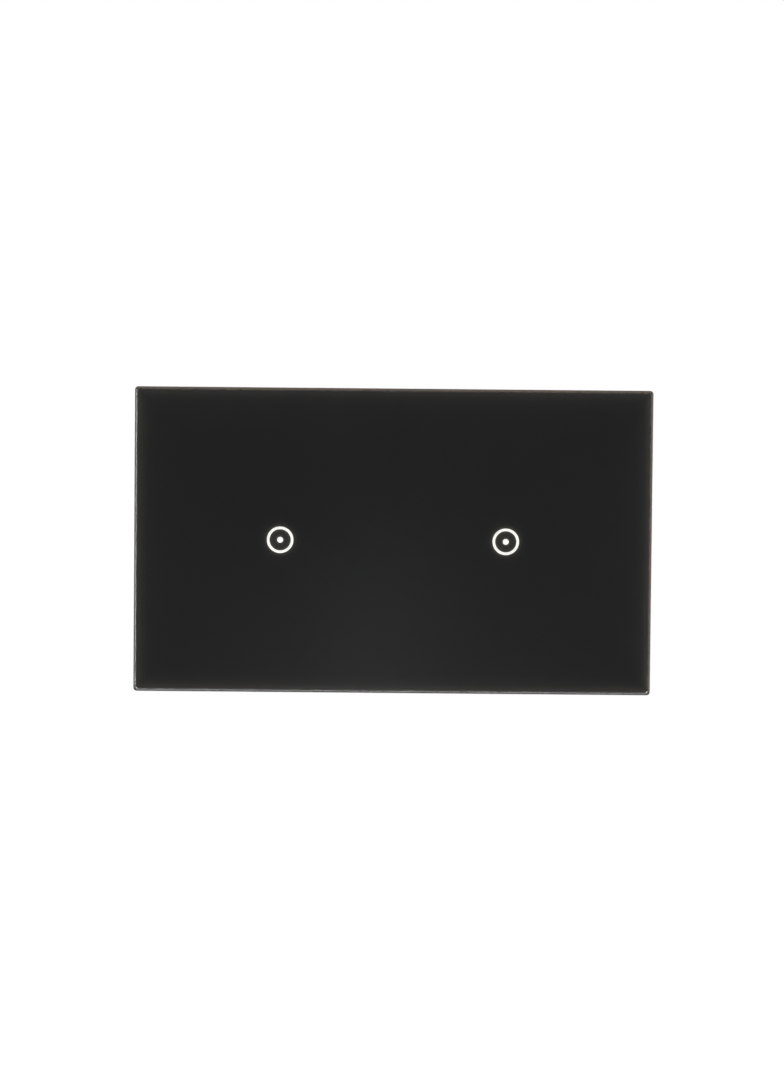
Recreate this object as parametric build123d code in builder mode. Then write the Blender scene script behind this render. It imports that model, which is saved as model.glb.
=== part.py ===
from build123d import *
import os

# Twin touch light switch for a double wall box, in millimetres.
# +X is to the right, +Z is up and the glass faces -Y. The wall's surface is the plane Y = 0.
# A level is a height in front of that surface, towards the viewer, so a level below zero is inside
# the wall box, where the same place has a depth of minus the level along +Y.
# The face is a bevelled glass plate printed black on its back, with a clear ring and dot for each
# touch point. It is taped to a moulded frame that clips round a steel mounting plate. The plate
# carries two identical relay modules, and two screws hold it to the wall box.

# Face
panel_width = 146.0
panel_height = 86.0
glass_thickness = 4.0
glass_corner = 1.0
glass_bevel = 0.75
glass_back_bevel = 0.25

# Printed mask with its ring and dot windows
mask_thickness = 0.1
mask_inset = 0.5
ring_diameter = 7.55
ring_line = 0.78
dot_diameter = 1.7

# Tape and frame behind the glass
tape_thickness = 0.4
tape_width = 4.0
tape_inset = 0.6
frame_reveal = 0.8
frame_corner = 1.6
frame_wall = 1.8
frame_flange_width = 4.5
frame_flange_thickness = 1.4
shadow_gap = 0.3
pry_width = 14.0
pry_height = 1.5
catch_width = 12.0
catch_height = 0.6
catch_length = 1.0
catch_slip = 0.1
buttress_width = 1.2
buttress_pitch = 28.0
buttress_reach = 2.6

# Steel mounting plate
plate_gap = 1.9
plate_thickness = 1.2
plate_corner = 3.0
fixing_inset = 12.7
slot_width = 4.2
slot_length = 7.0
window_slip = 0.4
tongue_width = 10.0
tongue_thickness = 0.8
tongue_gap = 0.4
nib_lead = 0.3
nib_height = 1.0
bead_length = 104.0
bead_width = 2.2
bead_height = 0.5
bead_inset = 5.0

# Earth terminal on a stepped tab in a window of the plate
earth_window_width = 13.0
earth_window_height = 14.0
earth_window_drop = 10.5
earth_tab_width = 9.0
earth_tab_length = 11.0
earth_tab_setback = 3.0
earth_screw_inset = 5.2

# Fixing screws, each with a washer that its undercut neck retains
fixing_radius = 1.75
fixing_neck_radius = 1.45
fixing_neck_length = 3.6
fixing_length = 25.0
fixing_head_radius = 3.3
fixing_head_height = 2.0
fixing_drive_width = 1.0
fixing_drive_depth = 1.0
earth_screw_length = 6.0
washer_radius = 3.9
washer_thickness = 0.5
washer_slip = 0.05

# Shares and slips that every screw has
rim_share = 0.25
tip_share = 0.3
thread_slip = 0.05

# Rear housing of a module
lug_room = 6.4
body_gap = 19.8
plate_margin = 13.5
body_wall = 1.6
body_corner = 2.0
body_round = 0.8
ledge = 0.8
flange_side = 1.6
ear_height = 5.4
flange_thickness = 1.6
vent_length = 15.0
vent_width = 1.4
vent_pitch = 3.0
vent_count = 4
vent_inset = 10.9
label_height = 7.0
label_depth = 0.3
label_drop = 4.0
label_share = 0.62

# Screws that hold a module to the plate
ear_screw_radius = 1.05
ear_screw_head_radius = 2.0
ear_screw_head_height = 1.4
ear_screw_drop = 2.9
ear_screw_inset = 5.0
ear_screw_slip = 0.1
ear_drive_width = 0.6
ear_drive_depth = 0.6

# Front cover of a module
cover_height = 3.4
cover_roof = 1.0
cover_wall = 1.4
cover_inset = 0.4
cover_overlap = 0.5
cover_corner = 2.4
cover_gap = 0.7
cover_edge = 0.5
collar_width = 1.4
collar_height = 0.4
hold_down_width = 1.2
hold_down_inset = 2.6
hold_down_gap = 0.1
hold_down_share = 0.6
leg_width = 10.0
leg_thickness = 1.2
leg_slip = 0.15
leg_end_gap = 0.8
barb_height = 1.4
barb_reach = 0.45
pocket_slip = 0.3
pocket_depth = 0.7

# Circuit boards
sensor_thickness = 1.2
sensor_rest = 0.9
sensor_end_gap = 0.4
board_corner = 1.5
power_thickness = 1.6
power_slip = 0.3
board_spacing = 5.8
header_length = 10.6
header_width = 2.5
header_edge = 5.6
pin_count = 4
pin_pitch = 2.54
pin_radius = 0.32
pin_slip = 0.12
pin_tail = 0.8
touch_chip_size = 6.0
touch_chip_height = 1.0
touch_chip_rise = 6.5
driver_chip_length = 8.6
driver_chip_width = 5.0
driver_chip_height = 1.6
driver_chip_drop = 5.0

# Touch spring, symbol diffuser and indicator lamps
spring_wire = 0.6
spring_radius = 5.4
spring_turns = 2.0
spring_slip = 1.0
diffuser_radius = 4.4
diffuser_wall = 0.8
diffuser_roof = 0.9
symbol_gap = 0.15
lamp_length = 1.25
lamp_width = 2.0
lamp_height = 0.8
lamp_pitch = 2.6

# Relay
relay_margin = 0.5
relay_room = 3.6
relay_wall = 0.8
relay_fit = 0.1
relay_base_thickness = 1.8
relay_corner = 0.6
coil_length = 8.4
coil_radius = 4.6
coil_flange_radius = 5.4
coil_flange_thickness = 0.7
coil_side_gap = 1.5
core_radius = 1.9
core_slip = 0.05
pole_height = 0.4
pole_gap = 0.55
yoke_thickness = 1.2
yoke_width = 9.0
yoke_gap = 0.5
yoke_end_gap = 0.7
pivot_gap = 0.05
armature_thickness = 1.0
armature_width = 8.4
armature_heel = 1.0
armature_reach = 4.2
leaf_thickness = 0.25
leaf_width = 4.0
leaf_hold = 3.0
leaf_overhang = 1.4
leaf_headroom = 1.2
button_radius = 1.1
button_height = 0.6
contact_inset = 1.9
contact_coil_gap = 1.3
contact_gap = 0.95
blade_thickness = 0.5
blade_width = 3.6
relay_pin_radius = 0.45
relay_pin_inset = 2.2

# Small components beside the relay
column_gap = 0.8
storage_radius = 3.15
storage_length = 11.5
storage_round = 0.5
storage_groove_depth = 0.3
storage_groove_width = 0.8
storage_groove_lift = 1.6
surge_radius = 4.0
surge_thickness = 3.4
surge_round = 1.2
surge_lift = 1.2
lead_radius = 0.3
lead_pitch = 4.0
film_length = 9.0
film_width = 4.6
film_height = 8.5
film_corner = 0.5

# Terminals, each with a captive screw that draws a clamp up to a brass bar
terminal_pitch = 14.0
cell_width = 6.6
cell_length = 7.2
cell_wall = 1.4
cell_slip = 0.3
cell_front_gap = 0.8
clamp_side = 1.0
clamp_nut_wall = 1.8
clamp_foot = 1.2
clamp_travel = 3.0
clamp_rest_gap = 0.5
clamp_end_gap = 0.4
clamp_nut_gap = 0.7
clamp_slip = 0.3
bar_thickness = 1.2
bar_slip = 0.2
bar_seat_slip = 0.1
bar_end_gap = 0.5
terminal_radius = 1.7
terminal_head_radius = 2.7
terminal_head_height = 2.2
terminal_head_recess = 1.2
terminal_head_slip = 0.4
terminal_shank_slip = 0.2
terminal_shelf = 1.4
terminal_tip_gap = 0.05
terminal_drive_width = 0.9
terminal_drive_depth = 1.2
wire_entry = 3.4

# One overrun serves every cut that runs out of a part
overrun = 1.0

# Sizes that follow across the face
frame_width = panel_width - 2 * frame_reveal
frame_height = panel_height - 2 * frame_reveal
frame_inner_width = frame_width - 2 * frame_wall
frame_inner_height = frame_height - 2 * frame_wall
plate_width = frame_inner_width - 2 * plate_gap
plate_height = frame_inner_height - 2 * plate_gap
fixing_pitch = panel_width - 2 * fixing_inset
body_width = (fixing_pitch - 2 * lug_room - body_gap) / 2
body_height = plate_height - 2 * plate_margin
symbol_pitch = body_width + body_gap
inner_width = body_width - 2 * body_wall
inner_height = body_height - 2 * body_wall
lower_width = inner_width - 2 * ledge
lower_height = inner_height - 2 * ledge
flange_width = body_width + 2 * flange_side
flange_height = body_height + 2 * ear_height

# Levels that follow, from the plate out to the glass
flange_level = plate_thickness
flange_top = flange_level + flange_thickness
sensor_top = flange_top + sensor_thickness
cover_top = flange_top + cover_height
roof_level = cover_top - cover_roof
mask_level = cover_top + cover_gap
glass_level = mask_level + mask_thickness
tape_level = mask_level - tape_thickness
frame_flange_level = tape_level - frame_flange_thickness
tongue_top = frame_flange_level - tongue_gap

# Levels that follow, from the plate into the wall box
power_top = flange_top - board_spacing
power_back = power_top - power_thickness
relay_height = (
    relay_base_thickness + yoke_thickness + coil_length + pole_height + pole_gap
    + armature_thickness + leaf_thickness + leaf_headroom + relay_wall
)
floor_level = power_back - relay_height - relay_room
body_back = floor_level - body_wall
head_level = body_back + terminal_head_recess + terminal_head_height
shelf_level = head_level + terminal_shelf
nut_level = shelf_level + clamp_end_gap + clamp_travel
bar_level = nut_level + clamp_nut_wall + clamp_nut_gap
bar_front = bar_level + bar_thickness
foot_level = bar_front + clamp_travel + clamp_rest_gap
clamp_front = foot_level + clamp_foot
cell_front = clamp_front + cell_front_gap

leg_level = power_top + leg_end_gap
spring_pitch = (mask_level - symbol_gap - sensor_top - spring_wire) / spring_turns
yoke_level = power_back - relay_base_thickness
coil_level = yoke_level - yoke_thickness
pole_level = coil_level - coil_length - pole_height
armature_level = pole_level - pole_gap
leaf_level = armature_level - armature_thickness
contact_level = leaf_level + button_height + contact_gap

# Places that follow inside a module
clamp_width = cell_width - 2 * clamp_slip
clamp_length = cell_length - 2 * cell_slip
bar_width = clamp_width - 2 * clamp_side - 2 * bar_slip
cell_low = -lower_height / 2
cell_high = cell_low + cell_length
terminal_drop = cell_low + cell_length / 2
block_width = terminal_pitch + cell_width + 2 * cell_wall
block_high = cell_high + cell_wall
relay_inner_length = (
    contact_inset + button_radius + contact_coil_gap + 2 * coil_flange_radius
    + yoke_gap + yoke_thickness + yoke_end_gap
)
relay_length = relay_inner_length + 2 * relay_wall
relay_width = 2 * (coil_flange_radius + coil_side_gap + relay_wall)
relay_x = -lower_width / 2 + relay_margin + relay_length / 2
relay_z = lower_height / 2 - relay_margin - relay_width / 2
relay_left = relay_x - relay_inner_length / 2
contact_x = relay_left + contact_inset
coil_x = contact_x + button_radius + contact_coil_gap + coil_flange_radius
pivot_x = coil_x + coil_flange_radius + yoke_gap
sensor_width = inner_width + 2 * sensor_rest
leg_outside = inner_height / 2 - leg_slip
leg_inside = leg_outside - leg_thickness
sensor_height = 2 * (leg_inside - sensor_end_gap)
cover_width = flange_width - 2 * cover_inset
cover_length = body_height + 2 * cover_overlap
header_z = header_edge - sensor_height / 2
spring_hole_radius = spring_radius + spring_wire / 2 + spring_slip
storage_x = lower_width / 2 - relay_margin - storage_radius
storage_z = lower_height / 2 - relay_margin - storage_radius
surge_x = storage_x
surge_z = storage_z - storage_radius - column_gap - surge_radius
film_x = lower_width / 2 - relay_margin - film_length / 2
film_z = surge_z - surge_radius - column_gap - film_width / 2
ear_screw_z = body_height / 2 + ear_screw_drop
ear_screw_x = body_width / 2 - ear_screw_inset

# Shared places
module_places = {"left": -symbol_pitch / 2, "right": symbol_pitch / 2}
fixing_places = {"left": -fixing_pitch / 2, "right": fixing_pitch / 2}
terminal_places = {"line": -terminal_pitch / 2, "load": terminal_pitch / 2}
module_points = [(x, 0) for x in module_places.values()]
tongue_points = [-symbol_pitch / 2, 0, symbol_pitch / 2]
ear_points = [(-ear_screw_x, ear_screw_z), (ear_screw_x, -ear_screw_z)]
relay_pin_x = relay_inner_length / 2 - relay_pin_inset
relay_pin_z = relay_width / 2 - relay_pin_inset
relay_pin_points = [
    (relay_x + side * relay_pin_x, relay_z + end * relay_pin_z)
    for side in (-1, 1)
    for end in (-1, 1)
]
lead_points = [
    (storage_x - lead_pitch / 2, storage_z),
    (storage_x + lead_pitch / 2, storage_z),
    (surge_x, surge_z - lead_pitch / 2),
    (surge_x, surge_z + lead_pitch / 2),
    (film_x - lead_pitch / 2, film_z),
    (film_x + lead_pitch / 2, film_z),
]


def wall_plane(level):
    """The plane at a level, drawn on as the viewer sees it, with its normal towards the viewer."""
    return Plane.XZ.offset(level)


def level_box(x_range, z_range, levels, mode=Mode.ADD):
    """A block in the part being built, between two places on each axis."""
    with BuildSketch(wall_plane(levels[0]), mode=Mode.PRIVATE) as outline:
        with Locations((sum(x_range) / 2, sum(z_range) / 2)):
            Rectangle(x_range[1] - x_range[0], z_range[1] - z_range[0])
    return extrude(outline.sketch, amount=levels[1] - levels[0], mode=mode)


def level_disc(x, z, radius, levels, mode=Mode.ADD):
    """A round block in the part being built, with its axis square to the wall."""
    with BuildSketch(wall_plane(levels[0]), mode=Mode.PRIVATE) as outline:
        with Locations((x, z)):
            Circle(radius)
    return extrude(outline.sketch, amount=levels[1] - levels[0], mode=mode)


def edges_at(part, level):
    """The edges of a part that lie flat at one level."""
    return part.edges().filter_by_position(Axis.Y, -level, -level)


def finish(builder, name):
    """Labels a finished part and writes it to its own file."""
    builder.part.label = name
    export_step(builder.part, f"parts/{name}.step")


os.makedirs("parts", exist_ok=True)

# Glass face with a polished bevel all round its front
with BuildPart() as glass_panel:
    with BuildSketch(wall_plane(glass_level)):
        RectangleRounded(panel_width, panel_height, glass_corner)
    extrude(amount=glass_thickness)
    chamfer(edges_at(glass_panel, glass_level + glass_thickness), glass_bevel)
    chamfer(edges_at(glass_panel, glass_level), glass_back_bevel)
finish(glass_panel, "glass_panel")

# Black print on the back of the glass, open at each ring and dot
with BuildPart() as symbol_mask:
    with BuildSketch(wall_plane(mask_level)):
        RectangleRounded(panel_width - 2 * mask_inset, panel_height - 2 * mask_inset, glass_corner)
        with Locations(*module_points):
            Circle(ring_diameter / 2, mode=Mode.SUBTRACT)
            Circle(ring_diameter / 2 - ring_line)
            Circle(dot_diameter / 2, mode=Mode.SUBTRACT)
    extrude(amount=mask_thickness)
finish(symbol_mask, "symbol_mask")

# Foam tape between the print and the frame
with BuildPart() as bonding_tape:
    with BuildSketch(wall_plane(tape_level)):
        tape_outer_width = frame_width - 2 * tape_inset
        tape_outer_height = frame_height - 2 * tape_inset
        RectangleRounded(tape_outer_width, tape_outer_height, frame_corner)
        Rectangle(
            tape_outer_width - 2 * tape_width, tape_outer_height - 2 * tape_width, mode=Mode.SUBTRACT
        )
    extrude(amount=tape_thickness)
finish(bonding_tape, "bonding_tape")

# Frame: a wall, a flange behind the glass, catch ribs, buttresses and a slot to prise it off
with BuildPart() as front_frame:
    with BuildSketch(wall_plane(shadow_gap)):
        RectangleRounded(frame_width, frame_height, frame_corner)
        Rectangle(frame_inner_width, frame_inner_height, mode=Mode.SUBTRACT)
    extrude(amount=tape_level - shadow_gap)
    with BuildSketch(wall_plane(frame_flange_level)):
        Rectangle(frame_inner_width, frame_inner_height)
        Rectangle(
            frame_inner_width - 2 * frame_flange_width,
            frame_inner_height - 2 * frame_flange_width,
            mode=Mode.SUBTRACT,
        )
    extrude(amount=frame_flange_thickness)
    for side in (-1, 1):
        wall_z = side * frame_inner_height / 2
        for x in tongue_points:
            level_box(
                (x - catch_width / 2, x + catch_width / 2),
                sorted((wall_z, wall_z - side * catch_height)),
                (shadow_gap, shadow_gap + catch_length),
            )
        for x in (-2 * buttress_pitch, -buttress_pitch / 2, buttress_pitch / 2, 2 * buttress_pitch):
            level_box(
                (x - buttress_width / 2, x + buttress_width / 2),
                sorted((wall_z, wall_z - side * plate_gap / 2)),
                (frame_flange_level - buttress_reach, frame_flange_level),
            )
        wall_x = side * frame_inner_width / 2
        for z in (-buttress_pitch, 0, buttress_pitch):
            level_box(
                sorted((wall_x, wall_x - side * plate_gap / 2)),
                (z - buttress_width / 2, z + buttress_width / 2),
                (frame_flange_level - buttress_reach, frame_flange_level),
            )
    level_box(
        (-pry_width / 2, pry_width / 2),
        (-frame_height / 2 - overrun, -frame_inner_height / 2 + catch_height),
        (shadow_gap, shadow_gap + pry_height),
        mode=Mode.SUBTRACT,
    )
finish(front_frame, "front_frame")


def clip_tongue(x, side):
    """Adds a tongue that stands up from the plate's edge, with a rounded nib outside it."""
    edge = plate_height / 2
    level_box(
        (x - tongue_width / 2, x + tongue_width / 2),
        sorted((side * edge, side * (edge - tongue_thickness))),
        (0, tongue_top),
    )
    nib_reach = frame_inner_height / 2 - catch_height - catch_slip
    nib_level = shadow_gap + catch_length + nib_lead
    with BuildSketch(Plane.YZ.offset(x - tongue_width / 2), mode=Mode.PRIVATE) as nib:
        with BuildLine():
            low = (-nib_level, side * edge)
            tip = (-nib_level - nib_height / 2, side * nib_reach)
            high = (-nib_level - nib_height, side * edge)
            Polyline(low, tip, high, close=True)
        make_face()
    extrude(nib.sketch, amount=tongue_width)


# Mounting plate with a window for each module, the fixing slots and the earth tab
with BuildPart() as mounting_plate:
    with BuildSketch(wall_plane(0)):
        RectangleRounded(plate_width, plate_height, plate_corner)
        with Locations(*module_points):
            Rectangle(body_width + 2 * window_slip, body_height + 2 * window_slip, mode=Mode.SUBTRACT)
        with Locations(*[(x, 0) for x in fixing_places.values()]):
            SlotOverall(slot_length, slot_width, mode=Mode.SUBTRACT)
        with Locations((0, -earth_window_drop)):
            Rectangle(earth_window_width, earth_window_height, mode=Mode.SUBTRACT)
        for module_x in module_places.values():
            with Locations(*[(module_x + x, z) for x, z in ear_points]):
                Circle(ear_screw_radius + thread_slip, mode=Mode.SUBTRACT)
    extrude(amount=plate_thickness)
    with BuildSketch(wall_plane(plate_thickness)):
        with Locations((0, plate_height / 2 - bead_inset), (0, bead_inset - plate_height / 2)):
            SlotOverall(bead_length, bead_width)
    extrude(amount=bead_height)
    for tongue_x in tongue_points:
        for tongue_side in (-1, 1):
            clip_tongue(tongue_x, tongue_side)
    tab_root = earth_window_height / 2 - earth_window_drop
    tab_back = -earth_tab_setback - plate_thickness
    tab_span = (-earth_tab_width / 2, earth_tab_width / 2)
    level_box(tab_span, (tab_root - plate_thickness, tab_root), (tab_back, plate_thickness))
    level_box(tab_span, (tab_root - earth_tab_length, tab_root), (tab_back, -earth_tab_setback))
    earth_z = tab_root - earth_tab_length + earth_screw_inset
    level_disc(
        0, earth_z, fixing_radius + thread_slip, (tab_back - overrun, overrun - earth_tab_setback),
        mode=Mode.SUBTRACT,
    )
finish(mounting_plate, "mounting_plate")


def slotted_screw(x, z, seat, shank, facing, head_radius, head_height, drive):
    """A slotted screw whose head stands on its seat, facing the viewer at 1 or the box at -1.

    The shank is one or more stretches, each given by its radius and the level where it ends.
    """
    drive_width, drive_depth = drive
    top = seat + facing * head_height
    with BuildPart() as screw:
        level_disc(x, z, head_radius, sorted((seat, top)))
        fillet(edges_at(screw, top), head_height * rim_share)
        start = seat
        for radius, end in shank:
            level_disc(x, z, radius, sorted((start, end)))
            start = end
        chamfer(edges_at(screw, start), radius * tip_share)
        level_box(
            (x - head_radius - overrun, x + head_radius + overrun),
            (z - drive_width / 2, z + drive_width / 2),
            sorted((top - facing * drive_depth, top + facing * overrun)),
            mode=Mode.SUBTRACT,
        )
    return screw


def washer(x, z, shank_radius, levels):
    """A flat washer that runs close on its screw."""
    with BuildPart() as ring:
        level_disc(x, z, washer_radius, levels)
        level_disc(
            x, z, shank_radius + washer_slip, (levels[0] - overrun, levels[1] + overrun),
            mode=Mode.SUBTRACT,
        )
    return ring


# Two fixing screws with their washers, headed towards the viewer
fixing_drive = (fixing_drive_width, fixing_drive_depth)
fixing_seat = plate_thickness + washer_thickness
fixing_shank = (
    (fixing_neck_radius, fixing_seat - fixing_neck_length),
    (fixing_radius, fixing_seat - fixing_length),
)
for side, x in fixing_places.items():
    wall_washer = washer(x, 0, fixing_neck_radius, (plate_thickness, fixing_seat))
    finish(wall_washer, f"{side}_wall_washer")
    wall_screw = slotted_screw(
        x, 0, fixing_seat, fixing_shank, 1, fixing_head_radius, fixing_head_height, fixing_drive
    )
    finish(wall_screw, f"{side}_wall_screw")

# Earth screw and its washer behind the tab, headed towards the wall box
earth_seat = tab_back - washer_thickness
earth_washer = washer(0, earth_z, fixing_radius, (earth_seat, tab_back))
finish(earth_washer, "earth_washer")
earth_shank = ((fixing_radius, earth_seat + earth_screw_length),)
earth_screw = slotted_screw(
    0, earth_z, earth_seat, earth_shank, -1, fixing_head_radius, fixing_head_height, fixing_drive
)
finish(earth_screw, "earth_screw")

# The pieces of one module, modelled about X = 0
module_parts = {}

# Rear housing: a box with a flange, an inner ledge, vents and the terminal block
with BuildPart() as rear_housing:
    with BuildSketch(wall_plane(body_back)):
        RectangleRounded(body_width, body_height, body_corner)
    extrude(amount=flange_level - body_back)
    fillet(edges_at(rear_housing, body_back), body_round)
    with BuildSketch(wall_plane(flange_level)):
        RectangleRounded(flange_width, flange_height, body_corner)
        with Locations(*ear_points):
            Circle(ear_screw_radius + ear_screw_slip, mode=Mode.SUBTRACT)
    extrude(amount=flange_thickness)
    level_box(
        (-inner_width / 2, inner_width / 2),
        (-inner_height / 2, inner_height / 2),
        (power_back, flange_top + overrun),
        mode=Mode.SUBTRACT,
    )
    level_box(
        (-lower_width / 2, lower_width / 2),
        (-lower_height / 2, lower_height / 2),
        (floor_level, power_back + overrun),
        mode=Mode.SUBTRACT,
    )
    level_box((-block_width / 2, block_width / 2), (cell_low, block_high), (floor_level, cell_front))
    wire_level = (bar_front + foot_level) / 2
    for x in terminal_places.values():
        level_box(
            (x - cell_width / 2, x + cell_width / 2),
            (cell_low, cell_high),
            (shelf_level, cell_front + overrun),
            mode=Mode.SUBTRACT,
        )
        level_box(
            (x - bar_width / 2 - bar_seat_slip, x + bar_width / 2 + bar_seat_slip),
            (cell_high - overrun, block_high + overrun),
            (bar_level, cell_front + overrun),
            mode=Mode.SUBTRACT,
        )
        level_box(
            (x - wire_entry / 2, x + wire_entry / 2),
            (-body_height / 2 - overrun, cell_low + overrun),
            (wire_level - wire_entry / 2, wire_level + wire_entry / 2),
            mode=Mode.SUBTRACT,
        )
        level_disc(
            x,
            terminal_drop,
            terminal_head_radius + terminal_head_slip,
            (body_back - overrun, head_level),
            mode=Mode.SUBTRACT,
        )
        level_disc(
            x,
            terminal_drop,
            terminal_radius + terminal_shank_slip,
            (head_level - overrun, shelf_level + overrun),
            mode=Mode.SUBTRACT,
        )
    for side in (-1, 1):
        pocket_wall = side * inner_height / 2
        level_box(
            (-leg_width / 2 - pocket_slip, leg_width / 2 + pocket_slip),
            sorted((pocket_wall - side * overrun, pocket_wall + side * pocket_depth)),
            (leg_level - pocket_slip, leg_level + barb_height + pocket_slip),
            mode=Mode.SUBTRACT,
        )
    with BuildSketch(wall_plane(body_back)):
        with Locations((0, inner_height / 2 - vent_inset)):
            with GridLocations(vent_length, vent_pitch, 1, vent_count):
                SlotOverall(vent_length, vent_width)
    extrude(amount=body_wall, mode=Mode.SUBTRACT)
    level_box(
        (-body_width * label_share / 2, body_width * label_share / 2),
        (-label_drop - label_height / 2, label_height / 2 - label_drop),
        (body_back - overrun, body_back + label_depth),
        mode=Mode.SUBTRACT,
    )
module_parts["rear_housing"] = rear_housing

# Front cover: a shallow lid with a collar round the spring, hold-down ribs and two snap legs
with BuildPart() as front_cover:
    with BuildSketch(wall_plane(flange_top)):
        RectangleRounded(cover_width, cover_length, cover_corner)
    extrude(amount=cover_height)
    chamfer(edges_at(front_cover, cover_top), cover_edge)
    level_box(
        (cover_wall - cover_width / 2, cover_width / 2 - cover_wall),
        (cover_wall - cover_length / 2, cover_length / 2 - cover_wall),
        (flange_top - overrun, roof_level),
        mode=Mode.SUBTRACT,
    )
    level_disc(0, 0, spring_hole_radius + collar_width, (roof_level, cover_top + collar_height))
    level_disc(
        0, 0, spring_hole_radius, (roof_level - overrun, cover_top + collar_height + overrun),
        mode=Mode.SUBTRACT,
    )
    for side in (-1, 1):
        rib_x = side * (sensor_width / 2 - hold_down_inset)
        level_box(
            (rib_x - hold_down_width / 2, rib_x + hold_down_width / 2),
            (-sensor_height * hold_down_share / 2, sensor_height * hold_down_share / 2),
            (sensor_top + hold_down_gap, roof_level),
        )
        level_box(
            (-leg_width / 2, leg_width / 2),
            sorted((side * leg_inside, side * leg_outside)),
            (leg_level, roof_level),
        )
        with BuildSketch(Plane.YZ.offset(-leg_width / 2)):
            with BuildLine():
                lead = (-leg_level, side * leg_outside)
                catch = (-leg_level - barb_height, side * (leg_outside + barb_reach))
                heel = (-leg_level - barb_height, side * leg_outside)
                Polyline(lead, catch, heel, close=True)
            make_face()
        extrude(amount=leg_width)
module_parts["front_cover"] = front_cover

# Pins of the header that joins the two boards
pin_points = [(pin_pitch * (i - (pin_count - 1) / 2), header_z) for i in range(pin_count)]

# Sensor board with its touch chip on the back
with BuildPart() as sensor_board:
    with BuildSketch(wall_plane(flange_top)):
        RectangleRounded(sensor_width, sensor_height, board_corner)
        with Locations(*pin_points):
            Circle(pin_radius + pin_slip, mode=Mode.SUBTRACT)
    extrude(amount=sensor_thickness)
    level_box(
        (-touch_chip_size / 2, touch_chip_size / 2),
        (touch_chip_rise - touch_chip_size / 2, touch_chip_rise + touch_chip_size / 2),
        (flange_top - touch_chip_height, flange_top),
    )
module_parts["sensor_board"] = sensor_board

# White diffuser cup that lights the ring and the dot
with BuildPart() as symbol_diffuser:
    diffuser_top = mask_level - symbol_gap
    level_disc(0, 0, diffuser_radius, (sensor_top, diffuser_top))
    level_disc(
        0, 0, diffuser_radius - diffuser_wall, (sensor_top - overrun, diffuser_top - diffuser_roof),
        mode=Mode.SUBTRACT,
    )
module_parts["symbol_diffuser"] = symbol_diffuser

# Touch spring, which brings the sensor pad to the back of the print
with BuildPart() as touch_spring:
    with BuildLine() as spring_line:
        Helix(
            pitch=spring_pitch,
            height=spring_pitch * spring_turns,
            radius=spring_radius,
            center=(0, -sensor_top - spring_wire / 2, 0),
            direction=(0, -1, 0),
        )
    with BuildSketch(spring_line.line ^ 0):
        Circle(spring_wire / 2)
    sweep(is_frenet=True)
module_parts["touch_spring"] = touch_spring

# Two indicator lamps inside the diffuser
with BuildPart() as indicator_leds:
    for lamp_x in (-lamp_pitch / 2, lamp_pitch / 2):
        level_box(
            (lamp_x - lamp_length / 2, lamp_x + lamp_length / 2),
            (-lamp_width / 2, lamp_width / 2),
            (sensor_top, sensor_top + lamp_height),
        )
module_parts["indicator_leds"] = indicator_leds

# Header block and its pins, which run through both boards
with BuildPart() as board_header:
    level_box(
        (-header_length / 2, header_length / 2),
        (header_z - header_width / 2, header_z + header_width / 2),
        (power_top, flange_top),
    )
    for x, z in pin_points:
        level_disc(x, z, pin_radius, (power_back - pin_tail, sensor_top + pin_tail))
module_parts["board_header"] = board_header

# Power board with its driver chip on the front and a hole for each lead
with BuildPart() as power_board:
    with BuildSketch(wall_plane(power_back)):
        RectangleRounded(inner_width - 2 * power_slip, inner_height - 2 * power_slip, board_corner)
        with Locations(*pin_points):
            Circle(pin_radius + pin_slip, mode=Mode.SUBTRACT)
        with Locations(*lead_points):
            Circle(lead_radius + pin_slip, mode=Mode.SUBTRACT)
        with Locations(*relay_pin_points):
            Circle(relay_pin_radius + pin_slip, mode=Mode.SUBTRACT)
    extrude(amount=power_thickness)
    level_box(
        (-driver_chip_length / 2, driver_chip_length / 2),
        (-driver_chip_drop - driver_chip_width / 2, driver_chip_width / 2 - driver_chip_drop),
        (power_top, power_top + driver_chip_height),
    )
module_parts["power_board"] = power_board

# Relay base with its pins, standing on the back of the power board
relay_inner_width = relay_width - 2 * relay_wall
with BuildPart() as relay_base:
    level_box(
        (relay_left + relay_fit, relay_left + relay_inner_length - relay_fit),
        (relay_z - relay_inner_width / 2 + relay_fit, relay_z + relay_inner_width / 2 - relay_fit),
        (yoke_level, power_back),
    )
    for x, z in relay_pin_points:
        level_disc(x, z, relay_pin_radius, (power_back, power_top + pin_tail))
module_parts["relay_base"] = relay_base

# Relay case, open towards the board
with BuildPart() as relay_case:
    with BuildSketch(wall_plane(power_back - relay_height)):
        with Locations((relay_x, relay_z)):
            RectangleRounded(relay_length, relay_width, relay_corner)
    extrude(amount=relay_height)
    fillet(edges_at(relay_case, power_back - relay_height), relay_corner)
    level_box(
        (relay_left, relay_left + relay_inner_length),
        (relay_z - relay_inner_width / 2, relay_z + relay_inner_width / 2),
        (power_back - relay_height + relay_wall, power_back + overrun),
        mode=Mode.SUBTRACT,
    )
module_parts["relay_case"] = relay_case

# Relay coil: two bobbin flanges and the winding, bored for the core
with BuildPart() as relay_coil:
    level_disc(coil_x, relay_z, coil_radius, (coil_level - coil_length, coil_level))
    for flange in (coil_level - coil_length, coil_level - coil_flange_thickness):
        level_disc(coil_x, relay_z, coil_flange_radius, (flange, flange + coil_flange_thickness))
    level_disc(
        coil_x,
        relay_z,
        core_radius + core_slip,
        (coil_level - coil_length - overrun, coil_level + overrun),
        mode=Mode.SUBTRACT,
    )
module_parts["relay_coil"] = relay_coil

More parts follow.
